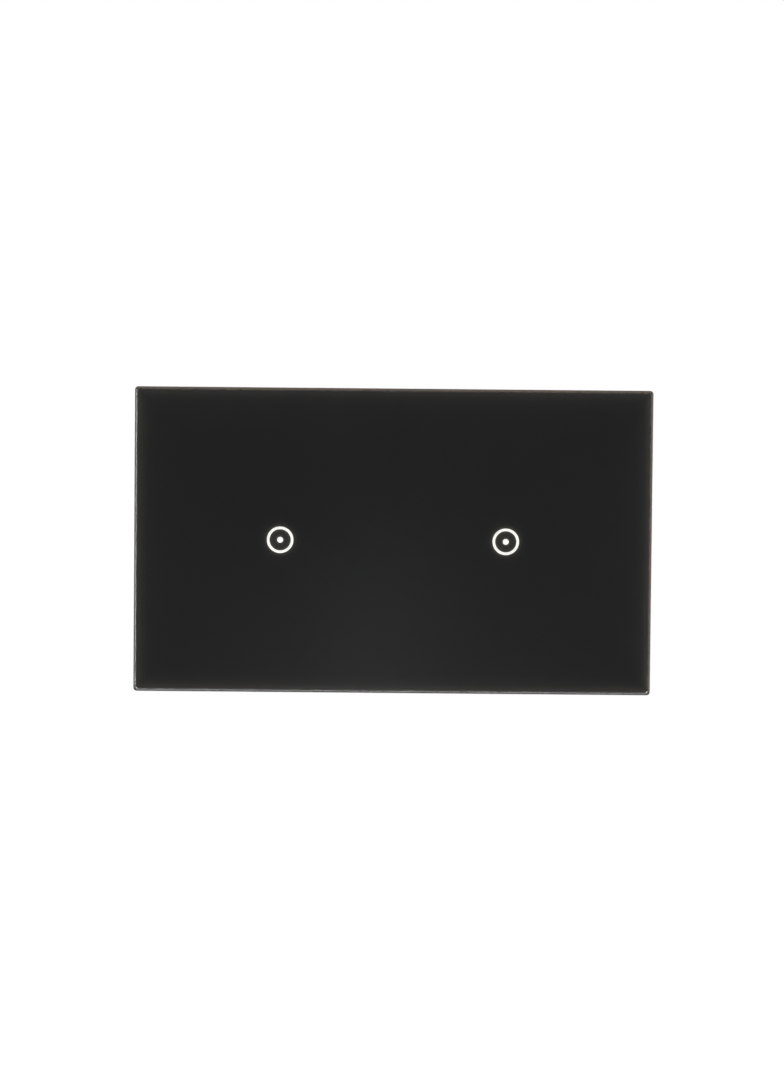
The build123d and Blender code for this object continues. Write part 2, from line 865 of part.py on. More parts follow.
# Relay yoke with the core riveted to its foot
with BuildPart() as relay_yoke:
    yoke_span = (relay_z - yoke_width / 2, relay_z + yoke_width / 2)
    level_box((coil_x - core_radius, pivot_x + yoke_thickness), yoke_span, (coil_level, yoke_level))
    level_box((pivot_x, pivot_x + yoke_thickness), yoke_span, (armature_level + pivot_gap, coil_level))
    level_disc(coil_x, relay_z, core_radius, (pole_level, coil_level))
module_parts["relay_yoke"] = relay_yoke

# Armature, which rocks on the end of the yoke
with BuildPart() as relay_armature:
    armature_left = coil_x - armature_reach
    level_box(
        (armature_left, pivot_x + armature_heel),
        (relay_z - armature_width / 2, relay_z + armature_width / 2),
        (leaf_level, armature_level),
    )
module_parts["relay_armature"] = relay_armature

# Contact leaf with its button, riveted to the armature
with BuildPart() as relay_leaf:
    level_box(
        (contact_x - leaf_overhang, armature_left + leaf_hold),
        (relay_z - leaf_width / 2, relay_z + leaf_width / 2),
        (leaf_level - leaf_thickness, leaf_level),
    )
    level_disc(contact_x, relay_z, button_radius, (leaf_level, leaf_level + button_height))
module_parts["relay_leaf"] = relay_leaf

# Fixed contact: a blade from the base with a shelf and a button
with BuildPart() as relay_contact:
    shelf_top = contact_level + button_height
    blade_span = (relay_z - blade_width / 2, relay_z + blade_width / 2)
    level_disc(contact_x, relay_z, button_radius, (contact_level, shelf_top))
    level_box(
        (contact_x - button_radius, contact_x + button_radius),
        blade_span,
        (shelf_top, shelf_top + blade_thickness),
    )
    level_box(
        (contact_x - blade_thickness / 2, contact_x + blade_thickness / 2),
        blade_span,
        (shelf_top, yoke_level),
    )
module_parts["relay_contact"] = relay_contact

# Storage capacitor with its crimp groove and leads
with BuildPart() as storage_capacitor:
    storage_back = power_back - storage_length
    level_disc(storage_x, storage_z, storage_radius, (storage_back, power_back))
    fillet(edges_at(storage_capacitor, storage_back), storage_round)
    groove = (power_back - storage_groove_lift - storage_groove_width, power_back - storage_groove_lift)
    with BuildSketch(wall_plane(groove[0])):
        with Locations((storage_x, storage_z)):
            Circle(storage_radius + overrun)
            Circle(storage_radius - storage_groove_depth, mode=Mode.SUBTRACT)
    extrude(amount=groove[1] - groove[0], mode=Mode.SUBTRACT)
    for x, z in lead_points[0:2]:
        level_disc(x, z, lead_radius, (power_back, power_top + pin_tail))
module_parts["storage_capacitor"] = storage_capacitor

# Surge disc, standing on two leads
with BuildPart() as surge_disc:
    surge_level = power_back - surge_lift - surge_radius
    with BuildSketch(Plane.YZ.offset(surge_x - surge_thickness / 2)):
        with Locations((-surge_level, surge_z)):
            Circle(surge_radius)
    extrude(amount=surge_thickness)
    fillet(surge_disc.edges().filter_by(GeomType.CIRCLE), surge_round)
    for x, z in lead_points[2:4]:
        level_disc(x, z, lead_radius, (surge_level, power_top + pin_tail))
module_parts["surge_disc"] = surge_disc

# Film capacitor, a rounded block on two leads
with BuildPart() as film_capacitor:
    with BuildSketch(wall_plane(power_back - film_height)):
        with Locations((film_x, film_z)):
            RectangleRounded(film_length, film_width, film_corner)
    extrude(amount=film_height)
    fillet(edges_at(film_capacitor, power_back - film_height), film_corner)
    for x, z in lead_points[4:6]:
        level_disc(x, z, lead_radius, (power_back, power_top + pin_tail))
module_parts["film_capacitor"] = film_capacitor

# Brass bars, each a tongue in its clamp and a leg up to the power board
with BuildPart() as terminal_bars:
    for x in terminal_places.values():
        bar_span = (x - bar_width / 2, x + bar_width / 2)
        leg_low = block_high + bar_seat_slip
        level_box(bar_span, (cell_low + bar_end_gap, leg_low + bar_thickness), (bar_level, bar_front))
        level_box(bar_span, (leg_low, leg_low + bar_thickness), (bar_level, power_back))
module_parts["terminal_bars"] = terminal_bars

# Clamp and captive screw of each terminal
terminal_drive = (terminal_drive_width, terminal_drive_depth)
terminal_shank = ((terminal_radius, bar_level - terminal_tip_gap),)
for name, x in terminal_places.items():
    with BuildPart() as clamp:
        level_box(
            (x - clamp_width / 2, x + clamp_width / 2),
            (terminal_drop - clamp_length / 2, terminal_drop + clamp_length / 2),
            (nut_level, clamp_front),
        )
        level_box(
            (x - clamp_width / 2 + clamp_side, x + clamp_width / 2 - clamp_side),
            (terminal_drop - clamp_length / 2 - overrun, terminal_drop + clamp_length / 2 + overrun),
            (nut_level + clamp_nut_wall, foot_level),
            mode=Mode.SUBTRACT,
        )
        level_disc(
            x, terminal_drop, terminal_radius + thread_slip, (nut_level - overrun, foot_level),
            mode=Mode.SUBTRACT,
        )
    module_parts[f"{name}_clamp"] = clamp
    module_parts[f"{name}_screw"] = slotted_screw(
        x, terminal_drop, head_level, terminal_shank, -1, terminal_head_radius, terminal_head_height,
        terminal_drive,
    )

# Two screws that hold the module to the plate, kept in one group
ear_drive = (ear_drive_width, ear_drive_depth)
ear_shank = ((ear_screw_radius, 0),)
ear_screws = [
    slotted_screw(
        x, z, flange_top, ear_shank, 1, ear_screw_head_radius, ear_screw_head_height, ear_drive
    )
    for x, z in ear_points
]
with BuildPart() as flange_screws:
    add([screw.part for screw in ear_screws])
module_parts["flange_screws"] = flange_screws

# The same module stands on the left and on the right
for side, module_x in module_places.items():
    for name, piece in module_parts.items():
        placed = piece.part.moved(Location((module_x, 0, 0)))
        placed.label = f"{side}_{name}"
        export_step(placed, f"parts/{placed.label}.step")
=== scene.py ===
import math

import bmesh
import bpy
from bpy.types import Operator, Panel, PropertyGroup
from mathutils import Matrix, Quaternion, Vector


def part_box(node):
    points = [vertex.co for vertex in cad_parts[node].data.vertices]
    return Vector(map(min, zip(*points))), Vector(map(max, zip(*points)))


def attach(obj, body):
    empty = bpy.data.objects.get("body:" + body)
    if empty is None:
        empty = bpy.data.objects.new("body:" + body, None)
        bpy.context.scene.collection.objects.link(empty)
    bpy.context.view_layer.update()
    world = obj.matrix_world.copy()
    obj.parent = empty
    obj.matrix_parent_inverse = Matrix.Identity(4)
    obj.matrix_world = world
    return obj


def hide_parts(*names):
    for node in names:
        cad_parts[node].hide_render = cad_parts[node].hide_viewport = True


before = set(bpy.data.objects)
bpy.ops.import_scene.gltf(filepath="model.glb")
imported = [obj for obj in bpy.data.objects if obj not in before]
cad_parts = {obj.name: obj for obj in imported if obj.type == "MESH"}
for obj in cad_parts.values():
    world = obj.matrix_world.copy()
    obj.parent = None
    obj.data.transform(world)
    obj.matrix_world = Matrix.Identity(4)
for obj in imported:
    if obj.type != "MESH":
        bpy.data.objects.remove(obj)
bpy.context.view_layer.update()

# Looks of the twin touch light switch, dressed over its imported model, in metres.
# +X is to the viewer's right, +Z is up and the glass faces -Y. A level is a height in front of the
# wall, as in the part's source, so a point at a level has that level's negative as its Y.

bl_info = {
    "name": "Touch Light Switch",
    "version": (1, 0, 0),
    "blender": (4, 5, 0),
    "location": "3D View > Sidebar > Switch",
    "description": "Dresses the packed touch light switch and sets up its studio",
    "category": "Object",
}

MM = 0.001
SIDES = ("left", "right")
WHITE = (1.0, 1.0, 1.0)
BLACK = (0.0, 0.0, 0.0)

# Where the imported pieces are
glass_low, glass_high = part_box("glass_panel")
symbol_reach = sum(corner.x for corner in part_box("right_symbol_diffuser")) / 2
half_width, half_height = glass_high.x, glass_high.z

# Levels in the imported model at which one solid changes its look
DIFFUSER_FRONT = 6.5 * MM
SENSOR_FRONT = 2.8 * MM
POWER_FRONT = -3.0 * MM
POWER_BACK = -4.6 * MM


def middle(node):
    """The middle of a node's box."""
    low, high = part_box(node)
    return (low + high) / 2


def shade(colour, share, most=1.0):
    """A share of a colour."""
    return [min(share * part, most) for part in colour]


class Value:
    """A node's output, on which Python's operators add Math nodes."""

    def __init__(self, tree, socket):
        self.tree = tree
        self.socket = socket

    def maths(self, operation, *others):
        return self.tree.node("Math", {"operation": operation}, dict(enumerate((self, *others))))

    def step(self, low, high):
        """0 at one value and 1 at the other, with a smooth change between them."""
        sockets = {"Value": self, "From Min": low, "From Max": high}
        return self.tree.node("MapRange", {"interpolation_type": "SMOOTHSTEP"}, sockets)

    def past(self, limit, edge):
        """1 past a limit, from an edge that is negative where past means less."""
        return self.step(limit, limit + edge)

    def within(self, limit, edge):
        """1 up to a limit and 0 beyond its edge."""
        return self.step(limit + edge, limit)

    def __add__(self, other):
        return self.maths("ADD", other)

    def __sub__(self, other):
        return self.maths("SUBTRACT", other)

    def __rsub__(self, other):
        return self.tree.node("Math", {"operation": "SUBTRACT"}, {0: other, 1: self})

    def __mul__(self, other):
        return self.maths("MULTIPLY", other)

    def __mod__(self, other):
        return self.maths("FLOORED_MODULO", other)

    def __abs__(self):
        return self.maths("ABSOLUTE")

    __radd__ = __add__
    __rmul__ = __mul__


class Tree:
    """A node tree whose nodes all come from one method."""

    def __init__(self, tree):
        self.tree = tree

    def feed(self, socket, value):
        """Links a socket to a node's output, or sets it. A colour gets its alpha here."""
        if isinstance(value, Value):
            self.tree.links.new(value.socket, socket)
        else:
            socket.default_value = (*value, 1.0) if socket.type == "RGBA" else value

    def node(self, kind, settings=None, sockets=None, out=0):
        """Adds a shader node, sets its settings and then its sockets, and gives one of its outputs."""
        node = self.tree.nodes.new(f"ShaderNode{kind}")
        for name, value in (settings or {}).items():
            setattr(node, name, value)
        for key, value in (sockets or {}).items():
            self.feed(node.inputs[key], value)
        return Value(self, node.outputs[out])

    def vector(self, operation, first, second, out=0):
        return self.node("VectorMath", {"operation": operation}, {0: first, 1: second}, out)

    def mix(self, factor, first, second):
        """One colour where the factor is 0 and the other where it is 1."""
        return self.node("Mix", {"data_type": "RGBA"}, {0: factor, 6: first, 7: second}, 2)

    def add(self, factor, first, second):
        """The first colour with a share of the second added to it."""
        settings = {"data_type": "RGBA", "blend_type": "ADD"}
        return self.node("Mix", settings, {0: factor, 6: first, 7: second}, 2)

    def axes(self, vector):
        """The three numbers of a vector."""
        return [self.node("SeparateXYZ", None, {0: vector}, axis) for axis in range(3)]

    def light_path(self, ray):
        return self.node("LightPath", out=f"Is {ray} Ray")


class Look(Tree):
    """The material of a piece, worked from its own coordinates so that it moves with the piece."""

    def __init__(self, name, constants=None):
        self.material = bpy.data.materials.new(name)
        self.material.use_nodes = True
        super().__init__(self.material.node_tree)
        self.shader = self.tree.nodes["Principled BSDF"]
        self.place = self.node("TexCoord", out="Object")
        self.paint(constants or {})

    def paint(self, sockets):
        """Sets or links sockets of the surface's shader."""
        for name, value in sockets.items():
            self.feed(self.shader.inputs[name], value)

    def xyz(self):
        """A point's place in the piece's own coordinates."""
        return self.axes(self.place)

    def see_through(self, share, colour):
        """Lets light straight through, tinted, where the share is 1."""
        clear = self.node("BsdfTransparent", None, {"Color": colour})
        surface = Value(self, self.shader.outputs[0])
        mixed = self.node("MixShader", None, {0: share, 1: surface, 2: clear})
        self.feed(self.tree.nodes["Material Output"].inputs["Surface"], mixed)

    def noise(self, size, detail=2.0, stretch=(1.0, 1.0, 1.0)):
        """Soft noise with blobs of about one size, or longer along an axis that is stretched."""
        shares = tuple(1 / share for share in stretch)
        place = self.vector("MULTIPLY", self.place, shares)
        return self.node("TexNoise", None, {"Vector": place, "Scale": 1 / size, "Detail": detail})

    def cells(self, size):
        """The distance from the middle of each cell of a random pattern."""
        return self.node("TexVoronoi", None, {"Vector": self.place, "Scale": 1 / size})

    def soft_edges(self, radius):
        """Normals rounded near each edge, and how near an edge is, from 0 to about 1."""
        rounded = self.node("Bevel", {"samples": 6}, {"Radius": radius})
        plain = self.node("NewGeometry", out="Normal")
        near = 1 - self.vector("DOT_PRODUCT", rounded, plain, 1)
        return rounded, near.step(0.0, 0.25)

    def coat(self, colour, roughness, height=None, depth=0.0, normal=None, **others):
        """Colours the surface, and bends it as a relief of that height and depth would."""
        self.paint({"Base Color": colour, "Roughness": roughness, **others})
        if height is not None:
            sockets = {"Height": height, "Distance": depth, "Strength": 1.0}
            if normal is not None:
                sockets["Normal"] = normal
            self.paint({"Normal": self.node("Bump", None, sockets)})
        return self

    def around(self, x, z):
        """The distance from the nearer of two axes square to the wall, one at x, z in each module."""
        own_x, _, own_z = self.xyz()
        distances = []
        for middle_x in (-symbol_reach, symbol_reach):
            across, up = own_x - (middle_x + x), own_z - z
            distances.append((across * across + up * up).maths("SQRT"))
        return distances[0].maths("MINIMUM", distances[1])


def moulded(name, colour, roughness, grain, depth, cloudy=0.05):
    """Moulded plastic: a fine eroded grain, faint flow clouds and rubbed edges."""
    look = Look(name)
    rounded, near = look.soft_edges(0.18 * MM)
    cloud = look.noise(7 * MM, 3.0).step(0.3, 0.7)
    fine = look.noise(grain, 3.0)
    body = look.mix(cloud, shade(colour, 1 - cloudy), shade(colour, 1 + cloudy))
    worn = [min(1.12 * part + 0.02, 0.9) for part in colour]
    rough = roughness + (cloud - 0.5) * 0.08 + (fine - 0.5) * 0.12 - near * 0.12
    return look.coat(look.mix(near * 0.5, body, worn), rough, fine, depth, rounded)


def rolled_zinc(name, colour):
    """Zinc-plated sheet: rolling lines, a faint spangle, a pale passivated cloud and bright cut edges."""
    look = Look(name, {"Metallic": 1.0})
    rounded, near = look.soft_edges(0.12 * MM)
    rolled = look.noise(0.22 * MM, 3.0, (60.0, 1.0, 1.0))
    cloud = look.noise(13 * MM, 3.0).step(0.35, 0.65)
    spangle = look.cells(1.6 * MM)
    red, green, blue = colour
    streaked = look.mix(rolled.step(0.3, 0.7), [0.93 * red, 0.97 * green, blue], shade(colour, 1.08))
    body = look.mix(cloud * 0.6, streaked, [1.04 * red, 1.02 * green, 0.95 * blue])
    rough = 0.34 + (rolled - 0.5) * 0.3 + (spangle - 0.4) * 0.1 - near * 0.08
    return look.coat(look.mix(near * 0.8, body, shade(colour, 1.35, 0.9)), rough, rolled, 3e-6, rounded)


def plated(name, colour, roughness, tarnish):
    """Small plated or bare metal pieces: tumbled surface, light handling marks and bright edges."""
    look = Look(name, {"Metallic": 1.0})
    rounded, near = look.soft_edges(0.08 * MM)
    cloud = look.noise(2.2 * MM, 4.0).step(0.4, 0.65)
    marks = look.noise(0.18 * MM, 2.0, (6.0, 1.0, 1.0))
    body = look.mix(cloud, colour, [tint * part for tint, part in zip(tarnish, colour)])
    rough = roughness + cloud * 0.1 + (marks - 0.5) * 0.2 - near * 0.08
    return look.coat(look.mix(near * 0.7, body, shade(colour, 1.15, 0.92)), rough, marks, 2e-6, rounded)


def pinned(look, pins, grain, plastic, metal, polish):
    """A dark moulding whose pins are bare metal."""
    fine = look.noise(grain, 2.0)
    rough = 0.5 + (fine - 0.5) * 0.2 - pins * polish
    return look.coat(look.mix(pins, plastic, metal), rough, fine, 3e-6, Metallic=pins)


def inside_glass(look):
    """The distance inwards from the glass edge, in metres."""
    x, _, z = look.xyz()
    return (half_width - abs(x)).maths("MINIMUM", half_height - abs(z))


def dress(nodes, look):
    """Gives model nodes a look through their slots."""
    for name in nodes:
        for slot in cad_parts[name].material_slots:
            slot.material = look.material


def both(*pieces):
    """The two modules' nodes of each name."""
    return [f"{side}_{piece}" for piece in pieces for side in SIDES]


def module_x(look):
    """The distance to the right of the module's own middle, in metres."""
    x, _, _ = look.xyz()
    return x - x.maths("SIGN") * symbol_reach


def level(look):
    """The level of a point in front of the wall, in metres."""
    _, y, _ = look.xyz()
    return 0 - y


def outline(half_x, half_z, corner, steps):
    """The points of a rounded rectangle about the middle, anticlockwise as the viewer sees it."""
    points = []
    for turn, (side_x, side_z) in enumerate(((1, 1), (-1, 1), (-1, -1), (1, -1))):
        for i in range(steps + 1):
            angle = math.pi / 2 * (turn + i / steps)
            points.append((
                side_x * (half_x - corner) + corner * math.cos(angle),
                side_z * (half_z - corner) + corner * math.sin(angle),
            ))
    return points


def softened(profile, radius, steps):
    """A profile of (inset, level) points with each of its inner corners rounded."""
    points = [Vector(point) for point in profile]
    result = [points[0]]
    for before, corner, after in zip(points, points[1:], points[2:]):
        start = corner + (before - corner).normalized() * radius
        end = corner + (after - corner).normalized() * radius
        for i in range(steps + 1):
            share = i / steps
            result.append(start * (1 - share) ** 2 + corner * (2 * share * (1 - share)) + end * share ** 2)
    result.append(points[-1])
    return result


def skinned(rings, looped=False):
    """A closed mesh through rings of equally many points, each ring facing the same way."""
    shape = bmesh.new()
    made = [[shape.verts.new(point) for point in ring] for ring in rings]
    for ring, other in zip(made, made[1:] + made[:looped]):
        for i, corner in enumerate(ring):
            shape.faces.new((ring[i - 1], corner, other[i], other[i - 1]))
    if not looped:
        shape.faces.new(made[0])
        shape.faces.new(made[-1])
    bmesh.ops.recalc_face_normals(shape, faces=shape.faces)
    return shape


def joined(shapes):
    """One mesh of several shapes."""
    whole = bmesh.new()
    for shape in shapes:
        share = bpy.data.meshes.new("share")
        shape.to_mesh(share)
        shape.free()
        whole.from_mesh(share)
        bpy.data.meshes.remove(share)
    return whole


def placed(name, data):
    """A new object in the scene."""
    thing = bpy.data.objects.new(name, data)
    bpy.context.scene.collection.objects.link(thing)
    return thing


def solid(name, shape):
    """A new object of a shape, which is then freed."""
    thing = placed(name, bpy.data.meshes.new(name))
    shape.to_mesh(thing.data)
    shape.free()
    return thing


def piece(name, shape, body, slot, look, smooth=True, weighted=True):
    """Makes an object of a shape, with its body and its look. Its slot argument is not used."""
    thing = solid(name, shape)
    thing.data.polygons.foreach_set("use_smooth", [smooth] * len(thing.data.polygons))
    thing.data.materials.append(look.material)
    if smooth and weighted:
        thing.modifiers.new("Weighted", "WEIGHTED_NORMAL").keep_sharp = True
    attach(thing, body)
    return thing


def a_number(name, description, default, **kind):
    """A setting that is a number."""
    return bpy.props.FloatProperty(name=name, description=description, default=default, **kind)


def a_length(name, description, default):
    """A setting that is a length in metres."""
    return a_number(name, description, default, unit="LENGTH")


def an_angle(name, description, degrees):
    """A setting that is an angle, whose default is given in degrees."""
    return a_number(name, description, math.radians(degrees), subtype="ANGLE")


def a_triple(name, description, default, subtype="COLOR"):
    """A setting that is a colour or a point."""
    return bpy.props.FloatVectorProperty(
        name=name, description=description, default=default, subtype=subtype
    )


class FaceSettings(PropertyGroup):
    """The glass face."""

    corner: a_length("Corner", "Radius of the glass's corners", 1.0 * MM)
    bevel: a_length("Bevel", "Width of the polished bevel", 0.75 * MM)
    inner_bevel: a_length("Inner Bevel", "Width of the bevel's flatter inner facet", 0.36 * MM)
    inner_slope: an_angle("Inner Slope", "Slope of the inner facet; the outer one has 45 degrees", 40)
    back_bevel: a_length("Back Bevel", "Width of the bevel at the back", 0.25 * MM)
    arris: a_length("Arris", "Softening of the bevel's edges", 0.07 * MM)
    contact: a_length("Contact", "How far the glass takes in the print", 0.02 * MM)
    tint: a_triple("Tint", "Colour of the glass", (0.95, 0.98, 0.97))
    edge_tint: a_triple("Edge Tint", "Colour of the glass at its bevel", (0.80, 0.93, 0.88))
    side_tint: a_triple("Side Tint", "Colour of the glass through its width", (0.020, 0.038, 0.031))
    ink: a_triple("Print", "Colour of the black print", (0.0044, 0.0055, 0.0049))
    # Painted light: the edge glow and the edge haze are colours added to the print near the glass edge,
    # standing in for light that the glass edge lets in
    painted_glow: a_triple("Edge Glow", "Light from the edge on the print's border", (0.068, 0.059, 0.053))
    painted_glow_reach: a_length("Glow Reach", "Depth over which the edge glow fades", 1.1 * MM)
    haze: a_triple("Edge Haze", "Fainter light from the edge further in", (0.0060, 0.0050, 0.0052))
    haze_reach: a_length("Haze Reach", "Depth over which the haze fades", 5.0 * MM)
    # Painted light: the halo is a colour added to the print round each symbol, standing in for light that
    # the symbols scatter in the glass
    painted_halo: a_triple("Halo", "Light that each symbol scatters in the glass round it", (0.054, 0.048, 0.042))
    painted_halo_reach: a_length("Halo Reach", "Distance over which the halo fades", 0.56 * MM)


class MouldingSettings(PropertyGroup):
    """The moulded plastics."""

    frame_colour: a_triple("Frame", "Colour of the front frame", (0.015, 0.015, 0.016))
    housing_colour: a_triple("Housing", "Colour of the rear housings", (0.70, 0.70, 0.68))
    cover_colour: a_triple("Cover", "Colour of the front covers", (0.035, 0.036, 0.038))
    label_colour: a_triple("Label", "Colour of the blank labels", (0.52, 0.53, 0.54))


class MetalSettings(PropertyGroup):
    """The metals and the screws' threads."""

    zinc: a_triple("Zinc", "Colour of the zinc plating", (0.37, 0.385, 0.405))
    brass: a_triple("Brass", "Colour of bare brass", (0.76, 0.57, 0.26))
    thread_pitch: a_length("Thread Pitch", "Pitch of the fixing screws' thread", 0.6 * MM)
    thread_depth: a_length("Thread Depth", "Depth of that thread", 0.33 * MM)


class StageSettings(PropertyGroup):
    """The studio and the camera."""

    distance: a_length("Distance", "From the camera to the glass", 0.9)
    azimuth: an_angle("Azimuth", "How far the camera stands round to the right", -0.216)
    elevation: an_angle("Elevation", "How far above the glass's level the camera stands", 2.41)
    roll: an_angle("Roll", "Tilt of the camera about its own axis", 0.532)
    aim: a_triple(
        "Aim", "The point that the camera looks at", (-0.30 * MM, -10.0 * MM, 2.27 * MM), "TRANSLATION"
    )
    lens: a_number("Lens", "Focal length in millimetres", 107.72)
    floor_drop: a_length("Floor Drop", "How far the floor lies below the switch's middle", 0.5)
    floor_colour: a_triple("Floor", "Colour of the floor", (0.86, 0.86, 0.86))
    soft_light: a_number("Soft Light", "Brightness of the room all round", 0.42)
    front_room: a_number("Front Room", "How bright the room in front of the glass mirrors", 0.262)


class SWITCH_OT_face_glass(Operator):
    """Builds the clear glass with its polished bevel and softened edges"""

    bl_idname = "switch.face_glass"
    bl_label = "Face Glass"

    def execute(self, context):
        face = context.scene.switch_face
        back = -glass_high.y - face.contact
        front = -glass_low.y
        outer_width = face.bevel - face.inner_bevel
        inner_rise = face.inner_bevel * math.tan(face.inner_slope)
        profile = [
            (face.corner, back), (face.back_bevel, back), (0, back + face.contact + face.back_bevel),
            (0, front - inner_rise - outer_width), (outer_width, front - inner_rise),
            (face.bevel, front), (face.corner, front),
        ]
        rings = []
        for inset, height in softened(profile, face.arris, 3):
            corner = max(face.corner - inset, face.arris)
            points = outline(half_width - inset, half_height - inset, corner, 6)
            rings.append([(x, -height, z) for x, z in points])
        glass = piece("face_glass", skinned(rings), "front_panel", "face_glass", self.glass(face))
        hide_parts("glass_panel")
        return {"FINISHED"}

    def glass(self, face):
        """Clear glass, green at its bevel and dark along its sides, that lamps shine straight through."""
        look = Look("clear_glass", {"Transmission Weight": 1.0, "IOR": 1.52})
        inside = inside_glass(look)
        rim = inside.within(0.0, 1.2 * MM)
        side = inside.within(0.02 * MM, 0.10 * MM)
        ground = look.noise(0.25 * MM, 3.0)
        tint = look.mix(rim, face.tint, face.edge_tint)
        look.coat(look.mix(side, tint, face.side_tint), rim * 0.03 + side * (0.1 + ground * 0.12))
        look.see_through(look.light_path("Shadow"), face.tint)
        return look


class SWITCH_OT_face_print(Operator):
    """Finishes the black print behind the glass, with a painted glow along the glass edge and painted halos
    round the symbols
    """

    bl_idname = "switch.face_print"
    bl_label = "Face Print"

    def execute(self, context):
        face = context.scene.switch_face
        look = Look("black_print", {"Specular IOR Level": 0.0})
        inside = inside_glass(look)
        # Painted glow: the print is made paler near the glass edge, in a short fade and a long one
        fade = (inside * (-1 / face.painted_glow_reach)).maths("EXPONENT")
        haze = (inside * (-1 / face.haze_reach)).maths("EXPONENT")
        # Painted halo: the print is made paler round each ring and dot, and faintly paler inside each ring
        ring, half_line, dot, painted_veil = 3.39 * MM, 0.39 * MM, 0.78 * MM, 0.2
        radius = look.around(0.0, 0.0)
        off = (abs(radius - ring) - half_line).maths("MINIMUM", radius - dot).maths("MAXIMUM", 0.0)
        inner = radius.step(ring, ring - half_line)
        painted_halo = (off * (-1 / face.painted_halo_reach)).maths("EXPONENT") + painted_veil * inner
        cloud = look.noise(45 * MM, 2.0).step(0.3, 0.7)
        grain = look.noise(0.4 * MM, 2.0)
        colour = look.mix(cloud, shade(face.ink, 0.85), shade(face.ink, 1.15))
        for share, light in ((fade, face.painted_glow), (haze, face.haze), (painted_halo, face.painted_halo)):
            colour = look.add(share, colour, light)
        dress(["symbol_mask"], look.coat(colour, 0.45 + (grain - 0.5) * 0.2))
        return {"FINISHED"}


class SWITCH_OT_bonding_tape(Operator):
    """Builds the foam tape as four strips that butt at the corners"""

    bl_idname = "switch.bonding_tape"
    bl_label = "Bonding Tape"

    def execute(self, context):
        width, gap, bulge = 4.0 * MM, 0.15 * MM, 0.05 * MM
        low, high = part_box("bonding_tape")
        inner = (low.z + width + gap, high.z - width - gap)
        made = []
        strips = (
            ((low.x, high.x), (high.z - width, high.z)), ((low.x, high.x), (low.z, low.z + width)),
            ((low.x, low.x + width), inner), ((high.x - width, high.x), inner),
        )
        for (x0, x1), (z0, z1) in strips:
            rings = []
            for share in (0.0, 0.25, 0.5, 0.75, 1.0):  # through the tape's thickness
                inset = bulge * (2 * share - 1) ** 2
                y = low.y + (high.y - low.y) * share
                rings.append([
                    (x0 + inset, y, z0 + inset), (x1 - inset, y, z0 + inset),
                    (x1 - inset, y, z1 - inset), (x0 + inset, y, z1 - inset),
                ])
            made.append(skinned(rings))
        tape = piece("tape_strips", joined(made), "front_panel", "foam_tape", self.foam(), smooth=False)
        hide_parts("bonding_tape")
        return {"FINISHED"}

    def foam(self):
        look = Look("foam_tape")
        pores = look.cells(0.22 * MM)
        cloud = look.noise(3 * MM, 3.0)
        # Painted shade: the foam is darker in the hollow of each pore
        colour = look.mix(pores.step(0.1, 0.6), (0.012, 0.012, 0.012), (0.045, 0.045, 0.045))
        return look.coat(colour, 0.85 + (cloud - 0.5) * 0.15, pores, 4e-5)


class SWITCH_OT_mouldings(Operator):
    """Finishes the moulded frame behind the glass and the black front covers"""

    bl_idname = "switch.mouldings"
    bl_label = "Front Mouldings"

    def execute(self, context):
        moulding = context.scene.switch_moulding
        look = moulded("frame_plastic", moulding.frame_colour, 0.46, 0.16 * MM, 6e-6)
        look.paint({"Specular IOR Level": 0.3})
        dress(["front_frame"], look)
        look = moulded("cover_plastic", moulding.cover_colour, 0.5, 0.22 * MM, 7e-6)
        dress(both("front_cover"), look)
        return {"FINISHED"}


class SWITCH_OT_metals(Operator):
    """Finishes the zinc-plated mounting plate, the brass bars and the clamps"""

    bl_idname = "switch.metals"
    bl_label = "Plate and Terminals"

    def execute(self, context):
        metal = context.scene.switch_metal
        dress(["mounting_plate"], rolled_zinc("plate_zinc", metal.zinc))
        dress(both("terminal_bars"), plated("terminal_brass", metal.brass, 0.26, (0.82, 0.76, 0.64)))
        clamp = plated("clamp_zinc", shade(metal.zinc, 0.96), 0.34, (0.84, 0.83, 0.78))
        dress(both("line_clamp", "load_clamp"), clamp)
        return {"FINISHED"}


